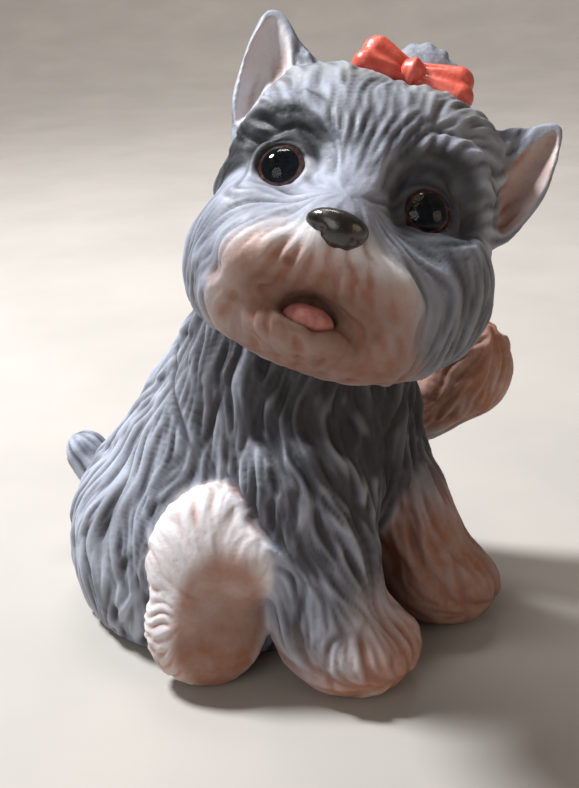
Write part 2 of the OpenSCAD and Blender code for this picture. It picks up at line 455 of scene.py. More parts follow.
field.put(hegg(0.5, 9.4, -24.4, 5, 6.2, 2.6), 1, cut=True)
field.put(limb(hp(4.6, 8.6, -24.2), hp(8.8, 6.4, -26.2), 0.9, 0.5), 1.2, cut=True)
field.put(limb(hp(-4, 8.6, -24.2), hp(-6.8, 8.4, -23.8), 0.7, 0.4), 1.2, cut=True)
# the flat the puppy stands on
field.v = np.maximum(field.v, -field.ax[2][None, None, :])

V, Q = surface_nets(field)
V = relax(V, Q, field)
BASE_N = mesh_normals(V, Q)


# ---- how the coat lies
def part_distance(name, p):
    d = None
    for (f, _, _), _ in PARTS[name]:
        e = f(p[:, 0], p[:, 1], p[:, 2])
        d = e if d is None else np.minimum(d, e)
    return d


def head_local(p):
    return (p - FACE) @ HEAD.T


def unit_rows(v):
    return v / (np.linalg.norm(v, axis=1, keepdims=True) + 1e-9)


def lie(name, p):
    """Direction of the hair on one part, not yet laid on the surface."""
    n = len(p)
    if name == "body":
        back = step(p[:, 1], -6, 22) * (0.35 + 0.35 * step(p[:, 2], 20, 50))
        side = p[:, 0] * 0.012
        return np.stack([side, back - 0.05, -np.ones(n)], 1)
    if name == "head":
        q = head_local(p)
        out = p - hp(0, 9, -8)
        down = (0.9 * step(np.abs(q[:, 0]), 9, 20) * step(-q[:, 2], -6, 6)
                + 1.6 * step(-q[:, 1], 18, 30))
        return unit_rows(out) - down[:, None] * HEAD[2] * 0.8
    if name == "right_ear":
        return rows(HEAD[2] - 0.25 * HEAD[0], n)
    if name == "left_ear":
        return rows(0.75 * HEAD[2] + 0.8 * HEAD[0], n)
    if name in ("right_front", "left_front"):
        toe = step(-p[:, 2], -13, -6)[:, None]
        side = -0.12 if name == "right_front" else 0.28
        return rows([side, -0.35, -1], n) * (1 - toe) + rows([side, -1, -0.35], n) * toe
    if name == "right_hind":
        q = (p - FOOT_AT) @ FOOT.T
        near = (step(q[:, 1], -4, 1) * step(-q[:, 1], -12, -6))[:, None]
        spread = q[:, :1] * FOOT[0] * 1.15 + q[:, 2:] * FOOT[2] * 0.8
        return rows([-0.1, 0.05, -1], n) * (1 - near) + unit_rows(spread) * near
    if name == "left_hind":
        up = step(p[:, 2], 26, 40)[:, None]
        return rows([0.3, -0.3, -0.8], n) * (1 - up) + rows([0.25, -0.55, 0.8], n) * up
    return rows([-0.2, 0.65, 0.75], n)


class Flow:
    """The lie of the hair over the whole puppy, on a coarse grid."""

    def __init__(self):
        self.grid = Field(lo - 4, hi + 4, 1.8)
        g = self.grid
        p = np.stack([a.ravel() for a in np.meshgrid(*g.ax, indexing="ij")], 1).astype(float)
        d = {name: part_distance(name, p) for name in PARTS}
        least = np.min(list(d.values()), 0)
        total = np.zeros_like(p)
        for name in PARTS:
            w = np.exp(-(d[name] - least) / 1.6)
            total += w[:, None] * unit_rows(lie(name, p))
        normal = field.gradient(p)
        total = unit_rows(total)
        side = np.cross(normal, total)
        bend = 0.62 * noise(p, 9, 3) + 0.35 * noise(p, 4.5, 9)
        total = total * np.cos(bend)[:, None] + side * np.sin(bend)[:, None]
        total -= normal * (total * normal).sum(1)[:, None]
        self.v = unit_rows(total).astype(np.float32)

    def at(self, p):
        return blended(self.v, self.grid.n, (p - self.grid.lo) / self.grid.h)


flow = Flow()


def strands(p, size, reach, count, shift):
    """Noise drawn out along the hair, scaled to a spread of 1."""
    total = noise(p, size, shift)
    ds = reach / count
    for way in (1, -1):
        q = p
        for i in range(count):
            q = q + way * ds * flow.at(q)
            total = total + noise(q, size, shift) * (1 - 0.6 * (i + 1) / count)
    return total / total.std()


class Grooves:
    """Cut strokes, as a depth on a grid round the surface."""

    def __init__(self):
        self.grid = Field(*SKIN_GRID, start=0.0)

    def stamp(self, p, width, depth, round_top=False):
        """Round or bell-shaped dabs at the points; where dabs meet, the deeper one stays."""
        g = self.grid
        flat = g.v.ravel()
        reach = 1.0 if round_top else 1.9
        r = int(math.ceil(reach * float(np.max(width)) / g.h))
        base = np.round((p - g.lo) / g.h).astype(int) - r
        for away in np.ndindex(*[2 * r + 1] * 3):
            i = np.clip(base + away, 0, g.n - 1)
            e = ((g.lo + i * g.h - p) ** 2).sum(1) / width ** 2
            m = e < (1.0 if round_top else 3.6)
            if m.any():
                at = (i[m, 0] * g.n[1] + i[m, 1]) * g.n[2] + i[m, 2]
                h = np.sqrt(1 - e[m]) if round_top else np.exp(-e[m])
                np.maximum.at(flat, at, (depth[m] * h).astype(np.float32))

    def soften(self):
        """Blend each cell with its neighbours, so that thin strokes stay even."""
        v = self.grid.v
        for axis in range(3):
            w = np.moveaxis(v, axis, 0)
            w[1:-1] = 0.15 * w[:-2] + 0.7 * w[1:-1] + 0.15 * w[2:]
        v *= 1.35

    def comb(self, seeds, length, width, depth, lock=False):
        """Strokes along the hair from their seeds, narrow at both ends, or locks that end in a point."""
        p = np.array(seeds, float)
        ds = 0.45
        n = int(length.max() / ds)
        pts, ws, dp = [], [], []
        for i in range(n):
            s = i * ds / length
            on = s <= 1
            if not on.any():
                break
            taper = np.sin(np.pi * np.clip(s, 0.02, 0.98)) ** 0.7
            wide = 0.55 + 0.45 * taper
            if lock:
                taper = np.clip(s / 0.45, 0, 1) ** 0.8 * (1 - 0.35 * step(s, 0.9, 1.0))
                wide = (0.5 + 0.5 * step(s, 0, 0.3)) * (1 - 0.86 * step(s, 0.45, 1.05))
            pts.append(p[on])
            ws.append((width * wide)[on])
            dp.append((depth * taper)[on])
            p = field.settle(p + ds * flow.at(p), 1)
        self.stamp(np.concatenate(pts), np.concatenate(ws), np.concatenate(dp), round_top=lock)

    def line(self, pts, width, depth):
        """One stroke through the points, laid on the surface."""
        pts = np.array(pts, float)
        seg = np.linalg.norm(np.diff(pts, axis=0), axis=1)
        cum = np.concatenate([[0], np.cumsum(seg)])
        t = np.linspace(0, cum[-1], max(int(cum[-1] / 0.35), 4))
        p = np.stack([np.interp(t, cum, pts[:, k]) for k in range(3)], 1)
        for _ in range(4):
            p[1:-1] = (p[:-2] + p[1:-1] * 2 + p[2:]) / 4
        p = field.settle(p, 4, most=3.0)
        s = t / cum[-1]
        k = np.sin(np.pi * np.clip(s, 0.03, 0.97)) ** 0.6
        self.stamp(p, width * (0.6 + 0.4 * k), depth * k)


L, F, U = head_local(V).T
X, Y, Z = V.T
label = np.argmin([part_distance(name, V) for name in PARTS], 0)
NAMES = list(PARTS)
on = {name: smooth_values((label == i).astype(float), Q, 6) for i, name in enumerate(NAMES)}
head, body = on["head"], on["body"]
# ellipses in the left-up planes of head and foot: middle, then half-widths
MUZZLE = (1.0, -25.0, 18.2, 13.6)
muzzle = step(ellipse_in(L, U, *MUZZLE) + 0.9 * noise(V, 3, 33), -1.2, 2.8) * step(F, -12, -5)
muzzle = muzzle * head
eye_d = {s: np.sqrt((L - EYE_OUT * s) ** 2 + (U + 0.3) ** 2 + (F * 0.6) ** 2) for s in (-1, 1)}
foot_l, foot_f, foot_u = ((V - FOOT_AT) @ FOOT.T).T
TOES, HEEL = (-0.5, 4.8, 12.7, 15.0), (0.0, -7.6, 11.0, 11.0)
foot_in = np.maximum(*(ellipse_in(foot_l, foot_u, *oval) for oval in (TOES, HEEL)))
foot_out = step(foot_in + 0.5 * noise(V, 2, 91), -1.8, -0.2)
sole = step(foot_f, -5.5, -2.5) * foot_out * on["right_hind"]
sole_pad = sole * step(1.0 - np.sqrt(((foot_l - 2.2) / 8.8) ** 2 + ((foot_u + 3.5) / 14.5) ** 2), -0.1, 0.25)
ear_in = {}
for side, outline in ((-1, EAR_R_CUP), (1, EAR_L_CUP)):
    dc = outline_distance(L, U, rounded(outline))
    ear_in[side] = step(-dc, -0.9, 0.5) * step(F, -18.5, -16.5) * on["right_ear" if side < 0 else "left_ear"]
inner_ear = ear_in[-1] + ear_in[1]

# how strongly the hair is modelled
coat = 1 - 0.45 * muzzle - 0.9 * inner_ear - 0.85 * sole_pad
for s in (-1, 1):
    coat = coat * step(eye_d[s], 4.2, 9.0)
coat = np.clip(coat, 0, 1)

dice = np.random.default_rng(SEED + 1)
grooves, raised = Grooves(), Grooves()


def scatter(layer, weight, count, length, width, depth, lock=False):
    """Strokes or locks from places drawn by weight, with sizes drawn between two ends."""
    w = np.clip(weight, 0, None)
    p = V[dice.choice(len(V), count, p=w / w.sum())]
    layer.comb(p, *[dice.uniform(*ends, count) for ends in (length, width, depth)], lock=lock)


comb = partial(scatter, grooves)
lay_locks = partial(scatter, raised, lock=True)

# the areas to comb: ruff and chest, legs, trunk, and the head outside the muzzle
ruff_y = -Y - 5 - 0.65 * np.clip(60 - Z, 0, 24)
below = Z - 42
throat = np.minimum(ruff_y, X + 19.5 + np.where(below < 0, 0.42, 1.3) * below)
throat = throat + 0.8 * noise(V, 4, 81)
# the chest: combed with cut strokes below, and painted darker as painted shade further down
chest = body + 0.45 * on["right_front"] + 0.7 * on["left_front"] * step(Z, 24, 34)
chest = chest * (0.5 * step(throat, -16, -2.5) + 0.5 * step(throat, -2.5, 2.2)) * step(Z, 15, 30)
limbs = on["right_front"] + on["left_front"]
trunk = body + on["right_hind"] * (1 - sole) + on["left_hind"]
coarse_area = trunk + on["tail"] + on["right_front"] * step(Z, 8, 16)
head_coat = head * (1 - muzzle)
comb(coarse_area * 0.9, 1150, (8, 20), (0.48, 0.72), (0.4, 0.9))
comb(np.clip(chest, 0, 1), 130, (7, 15), (0.6, 1.0), (0.8, 1.5))
comb(coarse_area * step(-Y, -30, -6), 800, (5, 13), (0.4, 0.5), (0.6, 1.1))
comb(limbs, 230, (6, 14), (0.44, 0.66), (0.35, 0.7))
comb(head_coat * coat, 420, (7, 15), (0.42, 0.56), (0.4, 0.8))
comb(muzzle * step(-U, 13, 16), 34, (3, 6.5), (0.7, 1.1), (0.3, 0.75))
comb(head_coat * coat, 420, (6, 12), (0.4, 0.46), (0.45, 0.75))
comb(coat * (1 - muzzle), 1400, (5, 11), (0.38, 0.44), (0.16, 0.34))
front_fringe = on["right_front"] * step(Z, 12, 22) + on["left_front"] * step(Z, 14, 24)
lay_locks(trunk, 210, (9, 17), (1.5, 2.7), (0.45, 0.85))
lay_locks(head_coat * step(-F, 2, 8), 120, (6, 11), (1.1, 1.9), (0.35, 0.65))
lay_locks(front_fringe, 40, (8, 13), (1.2, 2.0), (0.3, 0.6))
lay_locks(on["tail"], 14, (6, 9), (1.2, 1.8), (0.3, 0.5))


def face_line(pts, width, depth):
    grooves.line([hp(*p) for p in pts], width, depth)


def eye_arc(s, reach, start, end, width, depth):
    """A crease round one eye, between two angles counted from its outer corner up over the top."""
    angles = np.radians(np.linspace(start, end, 7))
    face_line([((EYE_OUT + reach * math.cos(a)) * s, 2.0, -0.3 + reach * math.sin(a)) for a in angles],
              width, depth)


# forehead furrows, fanning up from between the eyes
for j in range(9):
    t = j / 4 - 1
    face_line([(5.2 * t + (5.0 * t + 1.2) * q ** 1.5, 5.2 - 1.2 * abs(t) - 3.2 * q * q,
                2.6 + 0.8 * abs(t) + (12.5 + 1.6 * t) * q) for q in (0, 0.35, 0.7, 1)], 0.62, 0.75)
# lids, brows and the rings round the eyes
for s in (-1, 1):
    face_line([(8.0 * s, 3, 11.6), (10.5 * s, 2, 14.6), (14.6 * s, 0, 16.4)], 0.62, 0.75)
    for reach, start, end, width, depth in ((4.7, -5, 160, 0.55, 0.7), (7.0, 25, 150, 0.55, 0.55),
                                            (9.6, 50, 130, 0.5, 0.5), (5.3, 200, 330, 0.45, 0.4),
                                            (8.2, -85, 35, 0.5, 0.5), (10.0, -95, -20, 0.5, 0.5)):
        eye_arc(s, reach, start, end, width, depth)
# lip corners and the fold under the nose
face_line([(4.5, 9, -23), (8, 8, -24.5), (9.5, 6, -26.5), (10, 5, -28.5)], 0.7, 0.8)
face_line([(-4, 9, -23), (-7, 9, -23.5), (-8.5, 8, -25)], 0.55, 0.6)
face_line([(1, 13, -16.5), (1, 12.5, -19), (0.5, 10.5, -22)], 0.6, 0.6)
for k in (-3, -2, -1, 1, 2, 3):
    face_line([(0.5 + 1.9 * k, 12.8, -17.2 + 0.5 * abs(k)), (0.5 + 2.5 * k, 11.4, -20.2),
               (0.5 + 3.0 * k, 9.2, -22.6)], 0.62, 0.6)
# the edges of the ruff and the hollows in the flank, set off from the middle of the body, and long chest cuts
RUFF_EDGES = (((-7, 5, 23), (-19, 3, 16), (-22.5, -7, 5)),
              ((-19, -15.5, 24.5), (-19.5, -10, 14), (-22, -8, 5)),
              ((-19, -18, 24.5), (-20, -20, 12), (-21.5, -31, 5)),
              ((-14.5, -33, 8), (-12.5, -36.5, 0), (-9, -38, -6)))
HOLLOWS = (((-31, 9, -8), (-34, 11, -14)), ((-34, 2, -14), (-35, 3, -18)), ((-35, 5, -25), (-35, 6, -29)))
for pts in RUFF_EDGES + HOLLOWS:
    grooves.line([body_at(*p) for p in pts], 1.0, 1.15)
comb(np.clip(chest, 0, 1) * step(Z, 26, 38), 44, (6, 12), (0.62, 0.9), (1.1, 1.7))


def toe_clefts(top, aim, spread, count, reach):
    """Grooves between the toes of a paw, fanning from a point on its top."""
    aim = unit([aim[0], aim[1], 0])
    side = np.array([-aim[1], aim[0], 0])
    for j in range(count):
        a = (j - (count - 1) / 2) * spread
        d = aim * math.cos(a) + side * math.sin(a)
        pts = [top + d * reach * t + np.array([0, 0, -reach * 0.85 * t * t]) for t in (0.2, 0.5, 0.8, 1.05)]
        grooves.line(pts, 0.6 + 0.2 * (j % 2), 0.4 + 0.35 * (j % 2))


toe_clefts(right_front_at(0.4, -1.9, -8.5), (-0.25, -1), 0.27, 9, 15)
toe_clefts(left_front_at(0.1, 0.4, -6.6), (0.3, -1), 0.28, 8, 14)

grooves.soften()
locks = strands(V, 2.8, 9.0, 8, 5.0)
fine = strands(V, 0.85, 3.6, 7, 21.0)
cut = grooves.grid.sample(V)
amount_locks = 0.36 * (trunk + limbs) + 0.2 * head
# the ribbed hair round the sole
angle = np.arctan2(foot_l - 2.0, foot_u + 5.0) + 0.16 * noise(V, 5, 60)
rib = 0.5 + 0.5 * np.cos(angle * 33)
one_sided = 0.25 + 0.75 * step(-np.sin(angle - 0.35), -0.5, 0.3)
rim = sole * (1 - sole_pad) * step(7.0 - foot_in, 0, 5.0) * one_sided
ribs = rim * (0.36 + 0.2 * noise(V, 5, 71)) * (np.sqrt(rib) - 0.5)

up = raised.grid.sample(V)
relief = coat * (amount_locks * np.tanh(locks) + 0.11 * np.tanh(fine) + up) - cut + ribs
relief *= step(Z, 0.2, 2.0)
V = V + BASE_N * relief[:, None]
X, Y, Z = V.T
N = mesh_normals(V, Q)

# ---- where the paint goes
# grooves and cut lines painted darker: partly a dark wash, partly painted shade in the creases; on the white
# parts the grooves turn peach
low = smooth_values(relief, Q, 14)
cavity = np.clip((low - relief) / 0.35, 0, 1)
deep = np.clip(cut / 0.68, 0, 1)
# charcoal paint round the eyes, made darker to stand in for the shade under the brows as well: paint and
# painted shade; the lids are painted dark along their upper, outer side
EYE_PAINT = {-1: (-15.4, 2.8, 9.2, 8.0), 1: (13.0, 1.6, 8.0, 9.8)}
dark_eye = np.zeros(len(V))
for s, patch in EYE_PAINT.items():
    inside = ellipse_in(L, U, *patch) - 0.5 * noise(V, 2.2, 12)
    area = step(inside, -1.5, 1.3) * step(F, -20, -13) * head
    dark_eye = np.maximum(dark_eye, area * (step(U - 0.2 * L - 2.9, -1.2, 1.2) if s < 0 else 0.84))
sclera = step(1.2 - ((L + 8.1) / 1.7) ** 2 - ((U - 0.2) / 2.0) ** 2, 0, 0.8) * (F > -2) * 0.35
for s in (-1, 1):
    lid = step(5.6 - eye_d[s], 0, 1.2) * step(U * 0.9 + s * (L - EYE_OUT * s) * 0.7, -1.0, 1.5) * head
    dark_eye = np.maximum(dark_eye, lid * 0.9)
dark_eye *= 1 - sclera
white = np.clip(muzzle + sole + inner_ear + sclera, 0, 1)
paw_r = on["right_front"] * step(24 - Z - 1.1 * np.maximum(-18 - X, 0), 0, 14)
paw_l = on["left_front"] * step(38 - Z, 0, 20)
paw_up = on["left_hind"] * step(Z, 26, 36) * step(-Y + 1.5 * noise(V, 5, 61), -9, 2)
white = np.clip(white + paw_r + paw_l + paw_up, 0, 1)
# tan on the white parts: part tan airbrush, part painted shade and painted warm reflection, on the lower
# muzzle, the left ear's cup, the sole pad and heel, the shadowed paws and in the grooves
beard_tan_and_shade = muzzle * step(-U, 14.5, 20.5) * (0.75 + 0.3 * noise(V, 6, 57))
heel = sole * step(-Z, -16, -3)
toes_r = paw_r * step(-Z, -21, -6)
peach = (beard_tan_and_shade + ear_in[1] * 0.55 + sole_pad * 0.8 + heel * 0.5 + paw_l * 0.85 + paw_up * 0.95
         + toes_r * 0.95 + (white - sclera) * cavity)
peach = np.clip(peach, 0, 1)
# the brown fleck on the upper lip
fleck_at = field.settle(hp(-4.4, 12.3, -19.7)[None], 5, 3.0)[0]
speck = step(1.5 - np.linalg.norm(V - fleck_at, axis=1), 0.3, 0.9)
# painted light: the back of the body, the right hind leg and the tail painted paler, where the key light
# falls
rear = (body + on["right_hind"] + on["tail"]) * step(Y - 0.3 * X, 13, 27)
painted_rear_light = rear * (0.75 + 0.25 * noise(V, 9, 44))
dust = head * step(U, 12, 24) * step(F, -26, -12) * (0.5 + 0.5 * noise(V, 5, 40))


def near_line(pts, reach):
    """1 on the line, fading over the reach."""
    d = np.full(len(V), 1e9)
    for a, b in zip(pts[:-1], pts[1:]):
        a, b = np.array(a, float), np.array(b, float)
        t = np.clip(((V - a) @ (b - a)) / ((b - a) @ (b - a)), 0, 1)
        d = np.minimum(d, np.linalg.norm(V - a - t[:, None] * (b - a), axis=1))
    return np.exp(-(d / reach) ** 2)


# painted shade in and round the flank hollows
hollow = np.zeros(len(V))
for pts, reach, strength in zip(HOLLOWS, (3.2, 2.0, 1.7), (1.0, 0.9, 0.7)):
    hollow = np.maximum(hollow, strength * near_line([body_at(*p) for p in pts], reach))
# painted shade round the mouth opening
LIPS = ((-6.9, 9, -23.6), (-3.5, 9, -23.4), (0.5, 9, -23.0), (4.6, 9, -23.4), (8.4, 7.4, -25))
lips = near_line([hp(*p) for p in LIPS], 2.4) * muzzle
# painted shade on the lower muzzle and chin, weaker on the puppy's right
blotch = np.clip(0.5 + 0.6 * noise(V, 6.5, 55), 0, 1)
lower = muzzle * step(-U + 0.1 * L, 16.5, 24.5) * (0.75 + 0.25 * blotch)
lower = lower * (0.35 + 0.65 * step(L, -17, -10))
pad_shade = sole_pad * (0.3 + 0.45 * step(-foot_u, -7, 7))
# painted shade on the sides turned from the key light: the left cheek, the left flank, and under the back of
# the head
left_cheek = head_coat * step(L, 12, 22) * step(-U, 3, 12)
left_flank = body * step(X, 2, 16) * step(-Y, -6, 8)
nape = head * step(-F, 12, 24) * step(-U, 2, 14)
# painted shade: the shadowed chest, hollows, mouth, lower muzzle, sole pad, left foreleg, left cheek, left
# ear's cup, left flank and nape painted darker
shade = (chest + hollow * 0.8 + lips * 0.9 + lower * 0.95 + pad_shade + paw_l * 0.6 + left_cheek * 0.5
         + ear_in[1] * 0.3 + left_flank * 0.6 + nape * 0.4)
shade = np.clip(shade, 0, 1)
# painted shade on the shadowed side of the ruff
ruff = body * step(18 - 0.75 * np.clip(58 - Z, 0, 18) - Y, -2, 4) * step(Z, 37, 46)
shade = np.maximum(shade, 0.42 * ruff)
# the brown fleck is real paint, carried in the cut-line and shade masks as well
deep = np.maximum(deep, speck)
shade = np.maximum(shade, speck)

# ---- meshes
def new_mesh(name, verts, faces, normals=None, masks=None):
    """A smooth mesh object from millimetre vertices; faces is a list of index arrays, each of one width."""
    me = bpy.data.meshes.new(name)
    me.vertices.add(len(verts))
    me.vertices.foreach_set("co", (np.asarray(verts) * 0.001).astype(np.float32).ravel())
    loops = np.concatenate([f.ravel() for f in faces])
    sizes = np.concatenate([np.full(len(f), f.shape[1]) for f in faces])
    me.loops.add(len(loops))
    me.loops.foreach_set("vertex_index", loops.astype(np.int32))
    me.polygons.add(len(sizes))
    me.polygons.foreach_set("loop_start", np.concatenate([[0], np.cumsum(sizes)[:-1]]).astype(np.int32))
    me.polygons.foreach_set("use_smooth", np.ones(len(sizes), bool))
    me.update(calc_edges=True)
    for key, values in (masks or {}).items():
        a = me.attributes.new(key, "FLOAT_COLOR", "POINT")
        a.data.foreach_set("color", values.astype(np.float32).ravel())
    if normals is not None:
        me.normals_split_custom_set_from_vertices(np.asarray(normals, np.float32))
    ob = bpy.data.objects.new(name, me)
    bpy.context.scene.collection.objects.link(ob)
    return ob


def finish_piece(ob, material, slot, *nodes):
    ob.data.materials.append(material)
    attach(ob, "root")
    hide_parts(*nodes)


def open_edges(quads, n):
    """Directed edges of the quads that have no partner."""
    e = quad_edges(quads).astype(np.int64)
    key, back = e[:, 0] * n + e[:, 1], e[:, 1] * n + e[:, 0]
    return e[~np.isin(key, back)]


def rings_of(edges):
    """Closed vertex rings through directed edges."""
    follow = {}
    for a, b in edges:
        follow.setdefault(int(a), []).append(int(b))
    rings = []
    while follow:
        start = next(iter(follow))
        loop, at = [], start
        while at in follow:
            loop.append(at)
            nxt = follow[at].pop()
            if not follow[at]:
                del follow[at]
            at = nxt
            if at == start:
                break
        rings.append(loop)
    return rings


def cut_piece(which):
    """One part of the puppy as a closed mesh: its skin, and a fan across each joint with its neighbours."""
    quads = Q[face_label == which]
    edges = open_edges(quads, len(V))
    bridge, tris, extra = [], [], []
    for loop in rings_of(edges):
        r = np.array(loop)
        is_joint = len(r) > 40
        depth = (1.0 if "ear" in NAMES[which] else 3.5) if is_joint else 0.3
        inner = V[r] - depth * N[r]
        for _ in range(12 if is_joint else 1):
            inner = (np.roll(inner, 1, 0) + np.roll(inner, -1, 0) + 2 * inner) / 4
        first = len(V) + len(extra)
        extra.extend(list(inner) + [inner.mean(0)])
        i = first + np.arange(len(r))
        j = np.roll(i, -1)
        bridge.append(np.stack([np.roll(r, -1), r, i, j], 1))
        tris.append(np.stack([j, i, np.full(len(r), first + len(r))], 1))
    full_v = np.concatenate([V, np.array(extra).reshape(-1, 3)])
    full_n = np.concatenate([N, rows([0, 0, 1], len(extra))])
    masks = {k: np.concatenate([mask, np.zeros((len(extra), 4))]) for k, mask in MASKS.items()}
    tris = np.concatenate(tris) if tris else np.zeros((0, 3), int)
    quads = np.concatenate([quads] + bridge)
    used = np.unique(np.concatenate([quads.ravel(), tris.ravel()]))
    back = np.full(len(full_v), -1)
    back[used] = np.arange(len(used))
    faces = [back[quads]] + ([back[tris]] if len(tris) else [])
    return full_v[used], faces, full_n[used], {k: mask[used] for k, mask in masks.items()}


def small_piece(node, ending, slot, material, spacing, adds, cuts=(), grain=None):
    """A small piece for a node, from (shape, blend) pairs put together and cut away."""
    ends = [shape[1:] for shape, _ in adds]
    grid = Field(np.min([e[0] for e in ends], 0) - 1.2, np.max([e[1] for e in ends], 0) + 1.2, spacing)
    for shape, blend in adds:
        grid.put(shape, blend)
    for shape, blend in cuts:
        grid.put(shape, blend, cut=True)
    verts, quads = surface_nets(grid)
    verts = relax(verts, quads, grid)
    normals = mesh_normals(verts, quads)
    if grain is not None:
        verts = verts + normals * grain(verts)[:, None]
        normals = mesh_normals(verts, quads)
    finish_piece(new_mesh(node + ending, verts, [quads], normals), material, slot, node)


# ---- materials
def linear(r, g, b):
    """A screen colour as linear light."""
    return tuple(((c + 0.055) / 1.055) ** 2.4 if c > 0.04 else c / 12.92 for c in (r, g, b)) + (1.0,)


class Paint:
    """A small builder for node materials."""

    def __init__(self, name, roughness=0.6, specular=0.4, coat=0.0, coat_roughness=0.1, ior=1.5,
                 transmission=0.0):
        self.mat = bpy.data.materials.new(name)
        self.mat.use_nodes = True
        self.nt = self.mat.node_tree
        self.bsdf = self.nt.nodes["Principled BSDF"]
        self.set(self.bsdf, {"Roughness": roughness, "Specular IOR Level": specular, "IOR": ior,
                             "Coat Weight": coat, "Coat Roughness": coat_roughness,
                             "Transmission Weight": transmission})
        self.pos = self.node("ShaderNodeTexCoord").outputs["Object"]

    def node(self, kind, **settings):
        n = self.nt.nodes.new(kind)
        for k, v in settings.items():
            setattr(n, k, v)
        return n

    def set(self, node, values):
        for key, value in values.items():
            self.put(node.inputs[key], value)

    def put(self, socket, value):
        if isinstance(value, bpy.types.NodeSocket):
            self.nt.links.new(value, socket)
        else:
            socket.default_value = value

    def noise(self, size_mm, detail=3.0, low=0.35, high=0.65, stretch=None):
        """Noise of that lump size, spread to 0..1 between low and high."""
        t = self.node("ShaderNodeTexNoise")
        source = self.pos
        if stretch:
            mapping = self.node("ShaderNodeMapping")
            self.set(mapping, {"Scale": stretch, "Vector": self.pos})
            source = mapping.outputs["Vector"]
        self.set(t, {"Scale": 1000.0 / size_mm, "Detail": detail, "Roughness": 0.55, "Vector": source})
        return self.span(t.outputs["Fac"], low, high)

    def span(self, value, low, high, to_low=0.0, to_high=1.0):
        r = self.node("ShaderNodeMapRange")
        self.set(r, {"From Min": low, "From Max": high, "To Min": to_low, "To Max": to_high, "Value": value})
        return r.outputs["Result"]

    def math(self, op, a, b=0.0, clamp=False):
        n = self.node("ShaderNodeMath", operation=op, use_clamp=clamp)
        self.put(n.inputs[0], a)
        self.put(n.inputs[1], b)
        return n.outputs[0]

    def mix(self, fac, a, b):
        n = self.node("ShaderNodeMix", data_type="RGBA")
        self.put(n.inputs["Factor"], fac)
        self.put(n.inputs[6], a)
        self.put(n.inputs[7], b)
        return n.outputs[2]

    def tint(self, base, mask, share, *colour):
        """The base, mixed towards a colour by a share of a mask."""
        return self.mix(self.math("MULTIPLY", mask, share), base, linear(*colour))

    def masks(self, name):
        a = self.node("ShaderNodeAttribute", attribute_name=name)
        s = self.node("ShaderNodeSeparateColor")
        self.put(s.inputs[0], a.outputs["Color"])
        return s.outputs[0], s.outputs[1], s.outputs[2], a.outputs["Alpha"]

    def bump(self, height, distance_mm, strength):
        b = self.node("ShaderNodeBump")
        self.set(b, {"Distance": distance_mm * 0.001, "Strength": strength, "Height": height})
        self.put(self.bsdf.inputs["Normal"], b.outputs["Normal"])

    def finish(self, colour, size_mm=None, smooth=0.0, rough=0.0):
        """The material, its roughness varied between two values in lumps of that size."""
        self.put(self.bsdf.inputs["Base Color"], colour)
        if size_mm is not None:
            self.put(self.bsdf.inputs["Roughness"], self.span(self.noise(size_mm), 0, 1, smooth, rough))
        return self.mat


def bisque():
    p = Paint("airbrushed_bisque", specular=0.32)
    to_white, to_peach, to_eye, to_dust = p.masks("paint_a")
    to_cavity, to_deep, to_shade, to_highlight = p.masks("paint_b")
    mottle = p.noise(7.0, 4.0)
    fleck = p.noise(0.9, 2.0, low=0.3, high=0.7)
    c = p.mix(mottle, linear(0.585, 0.6, 0.65), linear(0.53, 0.54, 0.585))
    # painted highlight on raised hair and the lit rear
    c = p.tint(c, to_highlight, 0.62, 0.74, 0.765, 0.82)
    c = p.tint(c, to_dust, 0.55, 0.6, 0.585, 0.52)
    # painted shade, and the brown fleck
    c = p.tint(c, to_shade, 0.82, 0.2, 0.18, 0.175)
    # grooves and cut lines: dark wash together with painted shade
    c = p.tint(c, to_cavity, 0.52, 0.27, 0.27, 0.3)
    c = p.tint(c, to_deep, 0.8, 0.125, 0.11, 0.115)
    # round the eyes: charcoal paint together with painted shade
    eye_share = p.math("MULTIPLY", to_eye, p.span(p.noise(3.0), 0, 1, 0.92, 1.0), clamp=True)
    c = p.mix(eye_share, c, linear(0.08, 0.075, 0.085))
    w = p.mix(mottle, linear(0.86, 0.84, 0.85), linear(0.8, 0.78, 0.79))
    # peach: tan airbrush together with painted shade and painted warm reflection
    peach_share = p.math("MULTIPLY", to_peach, p.span(p.noise(4.0), 0, 1, 0.65, 1.0), clamp=True)
    w = p.mix(peach_share, w, linear(0.66, 0.45, 0.345))
    # painted shade on the white parts, warm brown
    w = p.tint(w, to_shade, 0.8, 0.41, 0.265, 0.185)
    w = p.tint(w, to_deep, 0.5, 0.55, 0.36, 0.3)
    c = p.mix(to_white, c, w)
    c = p.mix(p.span(fleck, 0.75, 1.0, 0.0, 0.1), c, linear(0.35, 0.33, 0.33))
    tooth = p.math("MULTIPLY", p.noise(0.22, 2.0, low=0.2, high=0.8), 0.5)
    p.bump(p.math("ADD", tooth, p.noise(0.9)), 0.05, 0.6)
    return p.finish(c, 2.5, 0.5, 0.66)


def red_glaze():
    p = Paint("red_satin_glaze", specular=0.4, coat=0.15, coat_roughness=0.3)
    c = p.mix(p.noise(2.5), linear(0.88, 0.42, 0.35), linear(0.8, 0.32, 0.26))
    c = p.mix(p.span(p.noise(0.8, 2.0), 0.7, 1.0, 0, 0.35), c, linear(0.86, 0.38, 0.26))
    p.bump(p.noise(0.7), 0.05, 0.5)
    return p.finish(c, 1.5, 0.3, 0.46)


def nose_glaze():
    p = Paint("nose_glaze", specular=0.5, coat=0.6, coat_roughness=0.2)
    c = p.mix(p.noise(2.2), linear(0.17, 0.135, 0.115), linear(0.1, 0.075, 0.07))
    p.bump(p.noise(0.5, 2.0), 0.03, 0.4)
    return p.finish(c, 1.0, 0.2, 0.34)


